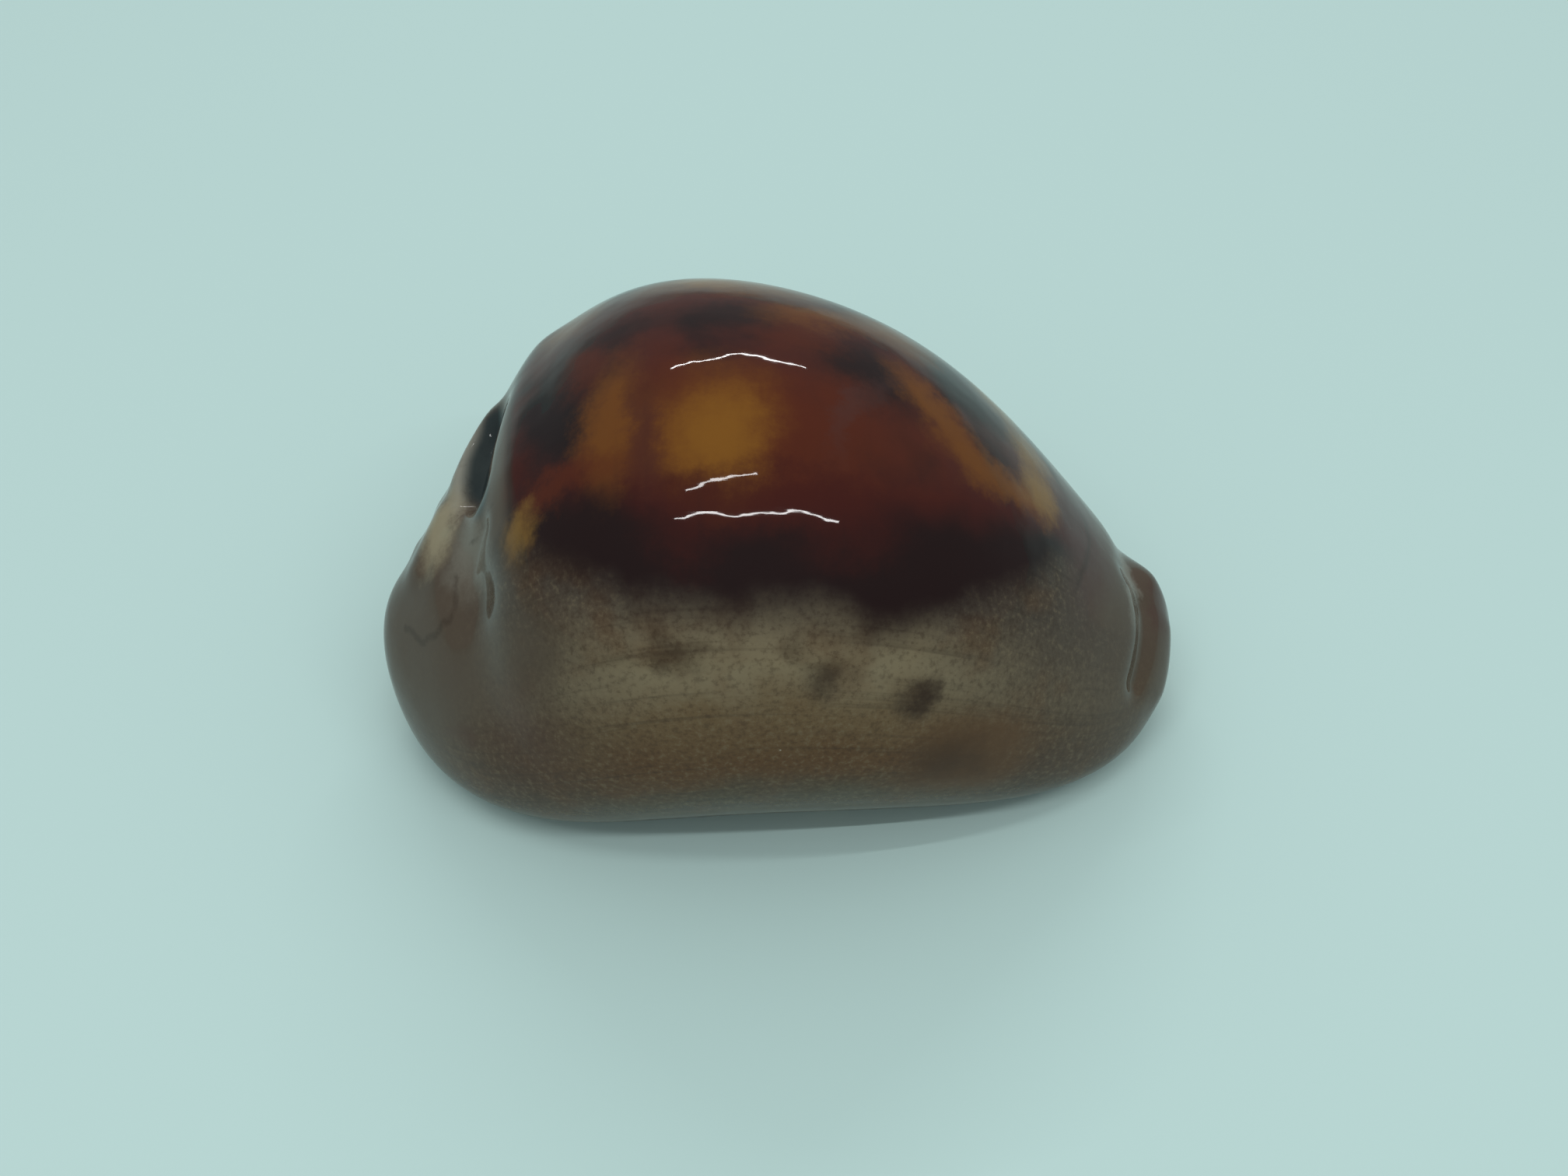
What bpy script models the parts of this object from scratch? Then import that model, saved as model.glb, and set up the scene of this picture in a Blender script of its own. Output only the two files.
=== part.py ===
# A large cowry shell in one piece: humped back, flat base with a toothed slit,
# a notch at each end and a sunken spire pit.
# Frame: the spire end points to -X, the front end to +X, the outer lip lies to -Y,
# the back is up and the base rests on z = 0, with the origin under the middle.

import bmesh
import bpy
import numpy as np

MM = 0.001

# Overall size of the shell (mm)
LENGTH = 75.0
WIDTH = 51.0
HEIGHT = 44.0

# Round sections along the shell: x, radius, height of centre, sideways place of centre (mm)
SECTIONS = (
    (-33.0, 13.0, 7.5, 0.5),
    (-26.0, 20.5, 11.0, 3.0),
    (-17.0, 24.0, 15.5, 2.5),
    (-8.0, 24.5, 19.5, 1.0),
    (2.0, 23.5, 20.0, 0.5),
    (12.0, 21.5, 17.0, 0.5),
    (22.0, 18.0, 12.0, 0.5),
    (32.0, 11.5, 6.5, 0.0),
)
SPIRE_END_CENTRE = (11.5, -1.0)
FRONT_END_CENTRE = (8.0, 0.0)
COLUMELLAR_SWELL = 1.05

# Base: how far it rises towards its edge and its ends, and the softness of its rim (mm)
BASE_RISE_SIDE = 1.8
BASE_RISE_ENDS = 2.0
BASE_FLAT_DROP = 0.4
BASE_HALF_WIDTH = 15.0
BASE_HALF_LENGTH = 30.0
RIM_SOFTNESS = 1.6
FLAT_SPOT_DEPTH = 0.45

# Aperture: its line (x, y), its half widths at both ends, its lips and its depth (mm)
SLIT_LINE = ((-36.0, 2.8), (-22.0, -1.0), (0.0, -3.5), (22.0, -3.5), (36.0, -2.0))
SLIT_HALF_WIDTH_SPIRE = 1.7
SLIT_HALF_WIDTH_FRONT = 2.2
LIP_RADIUS = 1.3
WALL_DEPTH = 4.0
CHAMBER_DEPTH = 12.0
CHAMBER_HALF_WIDTH = 3.4
NOTCH_REACH = 3.3
CHAMBER_LEAN = 1.6
CHAMBER_LEAN_SHARPNESS = 5

# The notches reach up the ends: shift of each end point of the slit (sideways, up)
SPIRE_NOTCH_SHIFT = (0.15, 0.15)
FRONT_NOTCH_SHIFT = (-0.10, -0.05)
NOTCH_SHARPNESS = 8

# Teeth along both lips (mm)
TOOTH_PITCH = 2.6
TOOTH_START = -27.5
TOOTH_COUNT = 22
TOOTH_GAP_DEPTH = 0.7
TOOTH_LENGTH_LABRAL = 4.0
TOOTH_LENGTH_COLUMELLAR = 3.0

# Hollows and swellings of the ends: start, end, push, width (mm) and steepness of the sides
RELIEF = {
    "columellar shoulder": ((-30.0, 13.0, 20.0), (-33.5, 7.0, 18.0), (0.5, -0.7, -0.9), 4.5, 2),
    "callus rim by the pit": ((-27.2, 11.5, 27.2), (-29.2, 4.5, 26.0), (-0.4, 0.1, 0.5), 1.7, 2),
    "spire pit": ((-26.3, 7.6, 29.3), (-27.6, 1.2, 28.6), (0.6, 0.0, -2.7), 2.3, 2),
    "crease from the pit": ((-26.2, -4.5, 29.0), (-27.8, -6.0, 25.0), (0.3, 0.1, -0.5), 1.1, 2),
    "callus rim to the lobe": ((-31.4, 2.0, 23.5), (-34.0, -1.5, 20.5), (-0.2, 0.0, 0.6), 1.8, 2),
    "far lobe": ((-32.3, 5.0, 21.5), (-33.6, 3.0, 19.5), (-0.4, 0.1, 0.4), 1.8, 2),
    "body rim over the pit": ((-22.0, 15.0, 31.5), (-22.8, -2.0, 33.5), (-0.2, 0.1, 0.6), 3.0, 2),
    "labral saddle, upper": ((-28.6, -4.5, 26.0), (-27.3, -9.0, 25.3), (0.6, 0.2, -0.6), 3.4, 2),
    "labral saddle, lower": ((-27.3, -9.0, 25.3), (-25.0, -17.0, 18.0), (0.5, 0.35, -0.4), 4.2, 2),
    "columellar saddle": ((-26.5, 15.0, 25.0), (-26.0, 20.0, 17.0), (0.9, -0.7, -0.5), 3.6, 2),
    "spire end trough": ((-37.0, 3.5, 12.0), (-33.0, 5.5, 19.0), (1.3, 0.0, -0.5), 2.6, 2),
    "front collar groove": ((33.9, -1.5, 14.6), (33.6, -8.0, 12.2), (-0.6, 0.2, -0.5), 1.6, 2),
    "front rim, labral": ((36.2, -1.0, 10.5), (36.0, -5.5, 7.5), (0.4, 0.0, 0.2), 1.9, 2),
    "front lobe, columellar": ((36.5, 2.0, 7.0), (34.8, 3.3, 12.8), (0.8, 0.0, 0.5), 2.5, 2),
    "front saddle, columellar": ((33.0, 1.5, 16.2), (32.2, 9.5, 13.2), (-0.4, 0.0, -0.4), 2.0, 2),
}

# Mesh: segments around the outside and inside the aperture, rings at each end and per tooth
OUTER_SEGMENTS = 56
INNER_SEGMENTS = 12
END_RINGS = 14
END_RING_CROWDING = 0.85
RINGS_PER_TOOTH = 2

SHELL_COLOUR = (0.075, 0.035, 0.022, 1.0)
SHELL_ROUGHNESS = 0.12


def clear_scene():
    for item in list(bpy.data.objects):
        bpy.data.objects.remove(item, do_unlink=True)


def new_collection(name):
    group = bpy.data.collections.new(name)
    bpy.context.scene.collection.children.link(group)
    return group


def shell_material():
    material = bpy.data.materials.new("porcelaneous_shell")
    material.use_nodes = True
    surface = material.node_tree.nodes["Principled BSDF"]
    surface.inputs["Base Color"].default_value = SHELL_COLOUR
    surface.inputs["Roughness"].default_value = SHELL_ROUGHNESS
    surface.inputs["Metallic"].default_value = 0.0
    return material


def along(x):
    # 1 at the spire end, -1 at the front end
    return -np.asarray(x, dtype=float) / (LENGTH / 2)


SECTION_X, SECTION_RADIUS, SECTION_HEIGHT, SECTION_SIDE = np.array(SECTIONS).T
STATION = along(SECTION_X)
STATION_AND_ENDS = np.concatenate(([1.0], STATION, [-1.0]))


def with_ends(values, end):
    return np.concatenate(([SPIRE_END_CENTRE[end]], values, [FRONT_END_CENTRE[end]]))


RADIUS_CURVE = np.polyfit(STATION, SECTION_RADIUS / np.sqrt(1 - STATION**2), 5)
HEIGHT_CURVE = np.polyfit(STATION_AND_ENDS, with_ends(SECTION_HEIGHT, 0), 6)
SIDE_CURVE = np.polyfit(STATION_AND_ENDS, with_ends(SECTION_SIDE, 1), 5)
SLIT_CURVE = np.polyfit(along([p[0] for p in SLIT_LINE]), [p[1] for p in SLIT_LINE], 4)


def closed_form(polar, around):
    # The shell with no aperture: polar runs from the spire end to the front end,
    # around starts under the base and goes up the columellar side
    axis = np.cos(polar)
    radius = np.polyval(RADIUS_CURVE, axis) * np.sin(polar)
    swell = np.where(np.sin(around) > 0, COLUMELLAR_SWELL, 1.0)
    x = -LENGTH / 2 * axis
    y = np.polyval(SIDE_CURVE, axis) + radius * np.sin(around) * swell
    centre = np.polyval(HEIGHT_CURVE, axis)
    round_z = centre - radius * np.cos(around)
    base = BASE_RISE_SIDE * (y / BASE_HALF_WIDTH) ** 2 + BASE_RISE_ENDS * (x / BASE_HALF_LENGTH) ** 2
    base = np.minimum(np.maximum(0.0, base - BASE_FLAT_DROP), centre)
    z = base + RIM_SOFTNESS * np.logaddexp(0.0, (round_z - base) / RIM_SOFTNESS)
    return np.stack((x, y, z), axis=-1)


def shifted_form(polar, around):
    # The same surface, with the end points of the slit moved up to the tops of the notches
    axis = np.cos(polar)
    centre_gap = np.polyval(SLIT_CURVE, axis) - np.polyval(SIDE_CURVE, axis)
    ring = np.maximum(np.polyval(RADIUS_CURVE, axis) * np.sin(polar), NOTCH_REACH)
    around = around + np.arctan(centre_gap / ring) * (1 + np.cos(around)) / 2 * np.sin(polar)
    weight = np.abs(axis) ** NOTCH_SHARPNESS
    side = np.where(axis > 0, SPIRE_NOTCH_SHIFT[0], FRONT_NOTCH_SHIFT[0]) * weight
    lift = np.where(axis > 0, SPIRE_NOTCH_SHIFT[1], FRONT_NOTCH_SHIFT[1]) * weight
    across = np.sin(polar) * np.sin(around) + side
    upward = -np.sin(polar) * np.cos(around) + lift
    new_polar = np.arctan2(np.hypot(across, upward), axis)
    return closed_form(new_polar, np.arctan2(across, -upward))


def slit_scale(polar):
    # Lips and depth shrink to nothing at the tops of the notches
    ring = np.polyval(RADIUS_CURVE, np.cos(polar)) * np.sin(polar)
    return np.tanh(ring / NOTCH_REACH), ring


def slit_half_width(polar):
    share = (1 - np.cos(polar)) / 2
    return SLIT_HALF_WIDTH_SPIRE + (SLIT_HALF_WIDTH_FRONT - SLIT_HALF_WIDTH_SPIRE) * share


def edge_angle(polar):
    scale, ring = slit_scale(polar)
    return (slit_half_width(polar) + LIP_RADIUS) * scale / np.maximum(ring, 1e-6)


def slit_frame(polar):
    # Middle of the slit, half the way across it, and the inward direction
    angle = edge_angle(polar)
    far = shifted_form(polar, angle)
    near = shifted_form(polar, -angle)
    middle = (far + near) / 2
    lean = CHAMBER_LEAN * np.cos(polar) ** CHAMBER_LEAN_SHARPNESS
    inward = np.stack((lean, 0 * lean, 0 * lean + 1), axis=-1)
    inward /= np.linalg.norm(inward, axis=1)[:, None]
    return middle, (far - near) / 2, inward


def slit_profile(share, half_width):
    # From the rounded lip (share 0) down the wall into the chamber and to its middle (share 1)
    lip_turn = np.clip(share / 0.4, 0.0, 1.0) * np.pi / 2
    lip_across = half_width + LIP_RADIUS * (1 - np.sin(lip_turn))
    lip_depth = LIP_RADIUS * (1 - np.cos(lip_turn))
    stops = (0.4, 0.6, 0.75, 0.9, 1.0)
    widths = (0.0, 0.0, CHAMBER_HALF_WIDTH, CHAMBER_HALF_WIDTH * 0.9, 0.0)
    depths = (LIP_RADIUS, WALL_DEPTH, WALL_DEPTH + 3.0, CHAMBER_DEPTH, CHAMBER_DEPTH + 1.0)
    wall_share = np.interp(share, (0.4, 0.6, 0.75, 0.9, 1.0), (1.0, 1.0, 0.0, 0.0, 0.0))
    across = np.where(share < 0.4, lip_across, np.interp(share, stops, widths) + half_width * wall_share)
    depth = np.where(share < 0.4, lip_depth, np.interp(share, stops, depths))
    return across, depth


def aperture_form(polar, share, side):
    # share runs from 0 at the lip to 1 at the roof of the chamber; side is 1 or -1
    middle, half_across, inward = slit_frame(polar)
    scale, _ = slit_scale(polar)
    half_width = slit_half_width(polar)
    across, depth = slit_profile(share, half_width)
    across = across / (half_width + LIP_RADIUS)
    return middle + half_across * (across * side)[:, None] + inward * (depth * scale)[:, None]


def tooth_gap(x):
    # 1 in the middle of the gap between two teeth and 0 on a tooth's crest
    run = (x - TOOTH_START) / TOOTH_PITCH
    inside = (run > 0) & (run < TOOTH_COUNT)
    return np.where(inside, 0.5 - 0.5 * np.cos(2 * np.pi * run), 0.0)


def tooth_offset(points, share, outward, side):
    # Gaps are cut between the teeth: they fade over the base and down the wall
    length = np.where(side > 0, TOOTH_LENGTH_COLUMELLAR, TOOTH_LENGTH_LABRAL)
    fade_out = np.clip(1 - outward / length, 0.0, 1.0)
    fade_in = np.clip((0.75 - share) / 0.35, 0.0, 1.0)
    depth = TOOTH_GAP_DEPTH * tooth_gap(points[:, 0]) * fade_out * fade_in
    turn = np.clip(share / 0.4, 0.0, 1.0) * np.pi / 2
    offset = np.zeros_like(points)
    offset[:, 1] = side * depth * np.sin(turn)
    offset[:, 2] = depth * np.cos(turn)
    return offset


def distance_to_line(points, start, end):
    start = np.array(start)
    run = np.array(end) - start
    share = np.clip((points - start) @ run / (run @ run), 0.0, 1.0)
    return np.linalg.norm(points - start - share[:, None] * run, axis=1)


def end_relief(points):
    offset = np.zeros_like(points)
    for start, end, push, width, steepness in RELIEF.values():
        strength = np.exp(-(distance_to_line(points, start, end) / width) ** steepness)
        offset += strength[:, None] * np.array(push)
    return offset


def ring_polar(ring_share, rings):
    # Rings are closer together at the ends, and a set number to each tooth along the teeth
    first = np.arccos(along(TOOTH_START))
    last = np.arccos(along(TOOTH_START + TOOTH_PITCH * TOOTH_COUNT))
    index = ring_share * rings
    middle_rings = RINGS_PER_TOOTH * TOOTH_COUNT
    x = TOOTH_START + (index - END_RINGS) * TOOTH_PITCH / RINGS_PER_TOOTH
    middle = np.arccos(np.clip(along(x), -1, 1))
    head = first * np.clip(index / END_RINGS, 0.0, 1.0) ** END_RING_CROWDING
    left = np.clip((rings - index) / END_RINGS, 0.0, 1.0)
    tail = np.pi - (np.pi - last) * left ** END_RING_CROWDING
    return np.where(index < END_RINGS, head, np.where(index > END_RINGS + middle_rings, tail, middle))


def shell_points(ring_share, turn_share, rings):
    # ring_share runs 0 to 1 along the shell, turn_share 0 to 1 around a section,
    # starting and ending at the roof of the chamber
    polar = np.clip(ring_polar(ring_share, rings), 0.002, np.pi - 0.002)
    inner = INNER_SEGMENTS / (INNER_SEGMENTS + OUTER_SEGMENTS) / 2
    side = np.where(turn_share < 0.5, 1.0, -1.0)
    from_roof = np.minimum(turn_share, 1 - turn_share)
    share = np.clip(1 - from_roof / inner, 0.0, 1.0)
    outer = np.clip((from_roof - inner) / (0.5 - inner), 0.0, 1.0)
    angle = edge_angle(polar)
    around = side * (angle + (np.pi - angle) * outer)
    outside = shifted_form(polar, around)
    inside = aperture_form(polar, share, side)
    points = np.where((share > 0)[:, None], inside, outside)
    edge = shifted_form(polar, side * angle)
    outward = np.where(share > 0, 0.0, np.linalg.norm(outside - edge, axis=1))
    teeth = tooth_offset(points, share, outward, side)
    scale, _ = slit_scale(polar)
    hold = 1 - scale * np.clip((share - 0.3) / 0.3, 0.0, 1.0)
    return points + teeth + end_relief(points) * hold[:, None]


def fit_to_size(points):
    # The base is levelled on a small flat spot, then the whole is brought to size
    low = points[:, 2].min()
    points[:, 2] = np.maximum(points[:, 2] - low - FLAT_SPOT_DEPTH, 0.0)
    low_corner = points.min(axis=0)
    size = points.max(axis=0) - low_corner
    scale = np.array((LENGTH, WIDTH, HEIGHT)) / size
    middle = low_corner + size / 2
    middle[2] = 0.0
    return (points - middle) * scale


def make_shell(group):
    rings = 2 * END_RINGS + RINGS_PER_TOOTH * TOOTH_COUNT
    mesh_builder = bmesh.new()
    bmesh.ops.create_uvsphere(mesh_builder, u_segments=OUTER_SEGMENTS + INNER_SEGMENTS,
                              v_segments=rings, radius=1.0)
    directions = np.array([vertex.co[:] for vertex in mesh_builder.verts])
    ring_share = np.arccos(np.clip(directions[:, 2], -1, 1)) / np.pi
    turn_share = np.mod(np.arctan2(directions[:, 1], directions[:, 0]) / (2 * np.pi), 1.0)
    points = fit_to_size(shell_points(ring_share, turn_share, rings)) * MM
    for vertex, point in zip(mesh_builder.verts, points):
        vertex.co = point
    bmesh.ops.triangulate(mesh_builder, faces=mesh_builder.faces[:])
    bmesh.ops.recalc_face_normals(mesh_builder, faces=mesh_builder.faces[:])
    mesh = bpy.data.meshes.new("cowry_shell")
    mesh_builder.to_mesh(mesh)
    mesh_builder.free()
    mesh.shade_smooth()
    mesh.materials.append(shell_material())
    shell = bpy.data.objects.new("cowry_shell", mesh)
    group.objects.link(shell)
    return shell


clear_scene()
make_shell(new_collection("zoila_venusta_cowry"))
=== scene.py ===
import math
import bmesh
import bpy
import numpy as np
from mathutils import Matrix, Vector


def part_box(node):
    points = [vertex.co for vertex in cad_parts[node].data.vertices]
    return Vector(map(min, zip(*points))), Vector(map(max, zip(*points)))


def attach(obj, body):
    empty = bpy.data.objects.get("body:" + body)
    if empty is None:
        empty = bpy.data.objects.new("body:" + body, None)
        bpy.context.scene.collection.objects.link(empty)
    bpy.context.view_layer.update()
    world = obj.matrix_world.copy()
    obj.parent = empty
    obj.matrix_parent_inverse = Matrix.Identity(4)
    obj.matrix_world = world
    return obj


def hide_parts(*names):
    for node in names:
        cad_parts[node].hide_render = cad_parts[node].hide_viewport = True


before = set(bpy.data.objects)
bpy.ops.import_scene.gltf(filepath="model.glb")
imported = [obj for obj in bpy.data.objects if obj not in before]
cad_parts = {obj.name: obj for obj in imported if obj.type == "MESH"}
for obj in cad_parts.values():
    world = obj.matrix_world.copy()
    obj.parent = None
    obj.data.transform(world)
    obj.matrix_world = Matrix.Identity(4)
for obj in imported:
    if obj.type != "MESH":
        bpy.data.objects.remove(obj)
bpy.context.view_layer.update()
mm = 0.001

# Form of the shell in mm: spire end at -X, front end at +X, outer lip at -Y, back up
shell = {
    "length": 75.0,
    # round sections: x, radius, height of centre, sideways place of centre
    "sections": (
        (-33.0, 13.0, 7.5, 0.5), (-26.0, 20.5, 11.0, 3.0), (-17.0, 24.0, 15.5, 2.5), (-8.0, 24.5, 19.5, 1.0),
        (2.0, 23.5, 20.0, 0.5), (12.0, 21.5, 17.0, 0.5), (22.0, 18.0, 12.0, 0.5), (32.0, 11.5, 6.5, 0.0),
    ),
    "spireEndCentre": (11.5, -1.0),
    "frontEndCentre": (8.0, 0.0),
    "columellarSwell": 1.05,
    "baseRiseSide": 1.8,
    "baseRiseEnds": 2.0,
    "baseFlatDrop": 0.4,
    "baseHalfWidth": 15.0,
    "baseHalfLength": 30.0,
    "rimSoftness": 1.6,
    "flatSpotDepth": 0.45,
    # rings at each end, rings per tooth, segments outside and inside the aperture
    "endRings": 52,
    "ringCrowding": 0.85,
    "ringsPerTooth": 7,
    "outerSegments": 280,
    "innerSegments": 56,
}

aperture = {
    "line": ((-36.0, 2.8), (-22.0, -1.0), (0.0, -3.5), (22.0, -3.5), (36.0, -2.0)),
    "halfWidthSpire": 1.7,
    "halfWidthFront": 2.2,
    "lipRadius": 1.3,
    "wallDepth": 4.0,
    "chamberDepth": 12.0,
    "chamberHalfWidth": 3.4,
    "chamberLean": 1.6,
    "chamberLeanSharpness": 5,
    "notchReach": 3.3,
    "spireNotchShift": (0.15, 0.15),
    "frontNotchShift": (-0.10, -0.05),
    "notchSharpness": 8,
    "toothPitch": 2.6,
    "toothStart": -27.5,
    "toothCount": 22,
    "toothGapDepth": 0.7,
    "toothLengthLabral": 4.0,
    "toothLengthColumellar": 3.0,
}

# Hollows and swellings of the ends: start, end, push, width and steepness of the sides
relief = {
    "columellarShoulder": ((-30.0, 13.0, 20.0), (-33.5, 7.0, 18.0), (0.5, -0.7, -0.9), 4.5, 2),
    "callusRimByPit": ((-27.2, 11.5, 27.2), (-29.2, 4.5, 26.0), (-0.4, 0.1, 0.5), 1.7, 2),
    "spirePit": ((-26.3, 7.6, 29.3), (-27.6, 1.2, 28.6), (0.6, 0.0, -2.7), 2.3, 2),
    "creaseFromPit": ((-26.2, -4.5, 29.0), (-27.8, -6.0, 25.0), (0.3, 0.1, -0.5), 1.1, 2),
    "callusRimToLobe": ((-31.4, 2.0, 23.5), (-34.0, -1.5, 20.5), (-0.2, 0.0, 0.6), 1.8, 2),
    "farLobe": ((-32.3, 5.0, 21.5), (-33.6, 3.0, 19.5), (-0.4, 0.1, 0.4), 1.8, 2),
    "bodyRimOverPit": ((-22.0, 15.0, 31.5), (-22.8, -2.0, 33.5), (-0.2, 0.1, 0.6), 3.0, 2),
    "labralSaddleUpper": ((-28.6, -4.5, 26.0), (-27.3, -9.0, 25.3), (0.6, 0.2, -0.6), 3.4, 2),
    "labralSaddleLower": ((-27.3, -9.0, 25.3), (-25.0, -17.0, 18.0), (0.5, 0.35, -0.4), 4.2, 2),
    "columellarSaddle": ((-26.5, 15.0, 25.0), (-26.0, 20.0, 17.0), (0.9, -0.7, -0.5), 3.6, 2),
    "spireEndTrough": ((-37.0, 3.5, 12.0), (-33.0, 5.5, 19.0), (1.3, 0.0, -0.5), 2.6, 2),
    "frontCollarGroove": ((33.9, -1.5, 14.6), (33.6, -8.0, 12.2), (-0.6, 0.2, -0.5), 1.6, 2),
    "frontRimLabral": ((36.2, -1.0, 10.5), (36.0, -5.5, 7.5), (0.4, 0.0, 0.2), 1.9, 2),
    "frontLobeColumellar": ((36.5, 2.0, 7.0), (34.8, 3.3, 12.8), (0.8, 0.0, 0.5), 2.5, 2),
    "frontSaddleColumellar": ((33.0, 1.5, 16.2), (32.2, 9.5, 13.2), (-0.4, 0.0, -0.4), 2.0, 2),
}


def along(x):  # 1 at the spire end, -1 at the front end
    return -np.asarray(x, dtype=float) / (shell["length"] / 2)


sectionX, sectionRadius, sectionHeight, sectionSide = np.array(shell["sections"]).T
station = along(sectionX)
stationAndEnds = np.concatenate(([1.0], station, [-1.0]))


def withEnds(values, end):
    return np.concatenate(([shell["spireEndCentre"][end]], values, [shell["frontEndCentre"][end]]))


radiusCurve = np.polyfit(station, sectionRadius / np.sqrt(1 - station**2), 5)
heightCurve = np.polyfit(stationAndEnds, withEnds(sectionHeight, 0), 6)
sideCurve = np.polyfit(stationAndEnds, withEnds(sectionSide, 1), 5)
slitCurve = np.polyfit(along([p[0] for p in aperture["line"]]), [p[1] for p in aperture["line"]], 4)


def closedForm(polar, around):
    # the shell with no aperture: polar runs spire end to front end, around starts under the base
    axis = np.cos(polar)
    radius = np.polyval(radiusCurve, axis) * np.sin(polar)
    swell = np.where(np.sin(around) > 0, shell["columellarSwell"], 1.0)
    x = -shell["length"] / 2 * axis
    y = np.polyval(sideCurve, axis) + radius * np.sin(around) * swell
    centre = np.polyval(heightCurve, axis)
    roundZ = centre - radius * np.cos(around)
    base = shell["baseRiseSide"] * (y / shell["baseHalfWidth"]) ** 2
    base = base + shell["baseRiseEnds"] * (x / shell["baseHalfLength"]) ** 2
    base = np.minimum(np.maximum(0.0, base - shell["baseFlatDrop"]), centre)
    soft = shell["rimSoftness"]
    return np.stack((x, y, base + soft * np.logaddexp(0.0, (roundZ - base) / soft)), axis=-1)


def shiftedForm(polar, around):
    # the same surface, with the end points of the slit moved up to the tops of the notches
    axis = np.cos(polar)
    centreGap = np.polyval(slitCurve, axis) - np.polyval(sideCurve, axis)
    ring = np.maximum(np.polyval(radiusCurve, axis) * np.sin(polar), aperture["notchReach"])
    around = around + np.arctan(centreGap / ring) * (1 + np.cos(around)) / 2 * np.sin(polar)
    weight = np.abs(axis) ** aperture["notchSharpness"]
    side = np.where(axis > 0, aperture["spireNotchShift"][0], aperture["frontNotchShift"][0]) * weight
    lift = np.where(axis > 0, aperture["spireNotchShift"][1], aperture["frontNotchShift"][1]) * weight
    across = np.sin(polar) * np.sin(around) + side
    upward = -np.sin(polar) * np.cos(around) + lift
    return closedForm(np.arctan2(np.hypot(across, upward), axis), np.arctan2(across, -upward))


def slitScale(polar):  # lips and depth shrink to nothing at the tops of the notches
    return np.tanh(np.polyval(radiusCurve, np.cos(polar)) * np.sin(polar) / aperture["notchReach"])


def slitHalfWidth(polar):
    share = (1 - np.cos(polar)) / 2
    return aperture["halfWidthSpire"] * (1 - share) + aperture["halfWidthFront"] * share


def edgeAngle(polar):
    ring = np.polyval(radiusCurve, np.cos(polar)) * np.sin(polar)
    return (slitHalfWidth(polar) + aperture["lipRadius"]) * slitScale(polar) / np.maximum(ring, 1e-6)


def slitProfile(share, halfWidth):
    # from the rounded lip (share 0) down the wall into the chamber and to its middle (share 1)
    lip = aperture["lipRadius"]
    wall = aperture["wallDepth"]
    wide = aperture["chamberHalfWidth"]
    turn = np.clip(share / 0.4, 0.0, 1.0) * np.pi / 2
    stops = (0.4, 0.6, 0.75, 0.9, 1.0)
    wallShare = np.interp(share, stops, (1.0, 1.0, 0.0, 0.0, 0.0))
    innerAcross = np.interp(share, stops, (0.0, 0.0, wide, wide * 0.9, 0.0)) + halfWidth * wallShare
    deep = aperture["chamberDepth"]
    innerDepth = np.interp(share, stops, (lip, wall, wall + 3.0, deep, deep + 1.0))
    across = np.where(share < 0.4, halfWidth + lip * (1 - np.sin(turn)), innerAcross)
    return across, np.where(share < 0.4, lip * (1 - np.cos(turn)), innerDepth)


def apertureForm(polar, share, side):
    far = shiftedForm(polar, edgeAngle(polar))
    near = shiftedForm(polar, -edgeAngle(polar))
    lean = aperture["chamberLean"] * np.cos(polar) ** aperture["chamberLeanSharpness"]
    inward = np.stack((lean, 0 * lean, 0 * lean + 1), axis=-1)
    inward /= np.linalg.norm(inward, axis=1)[:, None]
    halfWidth = slitHalfWidth(polar)
    across, depth = slitProfile(share, halfWidth)
    across = across / (halfWidth + aperture["lipRadius"]) * side
    depth = depth * slitScale(polar)
    return (far + near) / 2 + (far - near) / 2 * across[:, None] + inward * depth[:, None]


def toothGap(x):  # 1 in the middle of the gap between two teeth
    run = (x - aperture["toothStart"]) / aperture["toothPitch"]
    inside = (run > 0) & (run < aperture["toothCount"])
    return np.where(inside, 0.5 - 0.5 * np.cos(2 * np.pi * run), 0.0)


def toothOffset(points, share, outward, side):
    length = np.where(side > 0, aperture["toothLengthColumellar"], aperture["toothLengthLabral"])
    fade = np.clip(1 - outward / length, 0.0, 1.0) * np.clip((0.75 - share) / 0.35, 0.0, 1.0)
    depth = aperture["toothGapDepth"] * toothGap(points[:, 0]) * fade
    turn = np.clip(share / 0.4, 0.0, 1.0) * np.pi / 2
    return np.stack((0 * depth, side * depth * np.sin(turn), depth * np.cos(turn)), axis=-1)


def lineDistance(points, start, end):
    start = np.array(start)
    run = np.array(end) - start
    share = np.clip((points - start) @ run / (run @ run), 0.0, 1.0)
    return np.linalg.norm(points - start - share[:, None] * run, axis=1)


def endRelief(points):
    offset = np.zeros_like(points)
    for start, end, push, width, steepness in relief.values():
        strength = np.exp(-(lineDistance(points, start, end) / width) ** steepness)
        offset += strength[:, None] * np.array(push)
    return offset


def ringPolar(ringShare, rings):
    # crowded rings at both ends, a set number to each tooth between
    endRings = shell["endRings"]
    perTooth = shell["ringsPerTooth"]
    start = aperture["toothStart"]
    first = np.arccos(along(start))
    last = np.arccos(along(start + aperture["toothPitch"] * aperture["toothCount"]))
    index = ringShare * rings
    middleRings = perTooth * aperture["toothCount"]
    x = start + (index - endRings) * aperture["toothPitch"] / perTooth
    head = first * np.clip(index / endRings, 0.0, 1.0) ** shell["ringCrowding"]
    left = np.clip((rings - index) / endRings, 0.0, 1.0)
    tail = np.pi - (np.pi - last) * left ** shell["ringCrowding"]
    middle = np.arccos(np.clip(along(x), -1, 1))
    return np.where(index < endRings, head, np.where(index > endRings + middleRings, tail, middle))


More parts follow.
